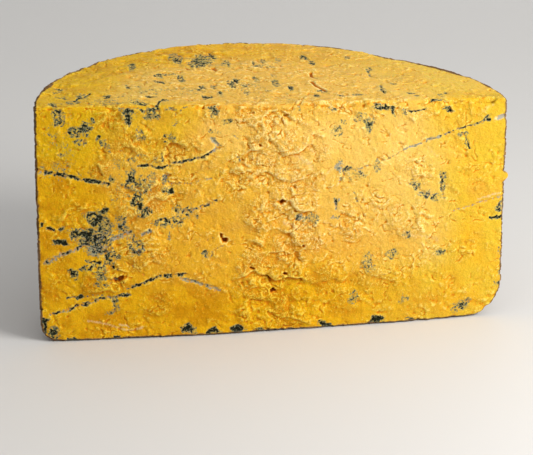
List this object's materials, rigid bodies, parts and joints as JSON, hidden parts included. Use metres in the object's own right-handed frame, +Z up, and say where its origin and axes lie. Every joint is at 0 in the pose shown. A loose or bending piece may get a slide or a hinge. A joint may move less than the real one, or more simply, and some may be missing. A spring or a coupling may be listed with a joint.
{
  "type": "half wheel of blue-veined orange cheese",
  "caption": "Half of a drum-shaped blue-veined orange cheese, cut level on top and down the middle, resting on its flat base.",
  "frame": {"origin": "middle of the piece's box at the base plane", "axes": "+Z up along the drum's axis; +X along the long cut face; the cut face looks toward -Y"},
  "size_m": [0.2098, 0.1062, 0.1085],
  "materials": {
    "cheese": "crumbly matte golden-orange paste with blue-green mould veins and a thin rough brown rind"
  },
  "bodies": {
    "root": {"cheese_half_wheel": "cheese"}
  },
  "joints": []
}
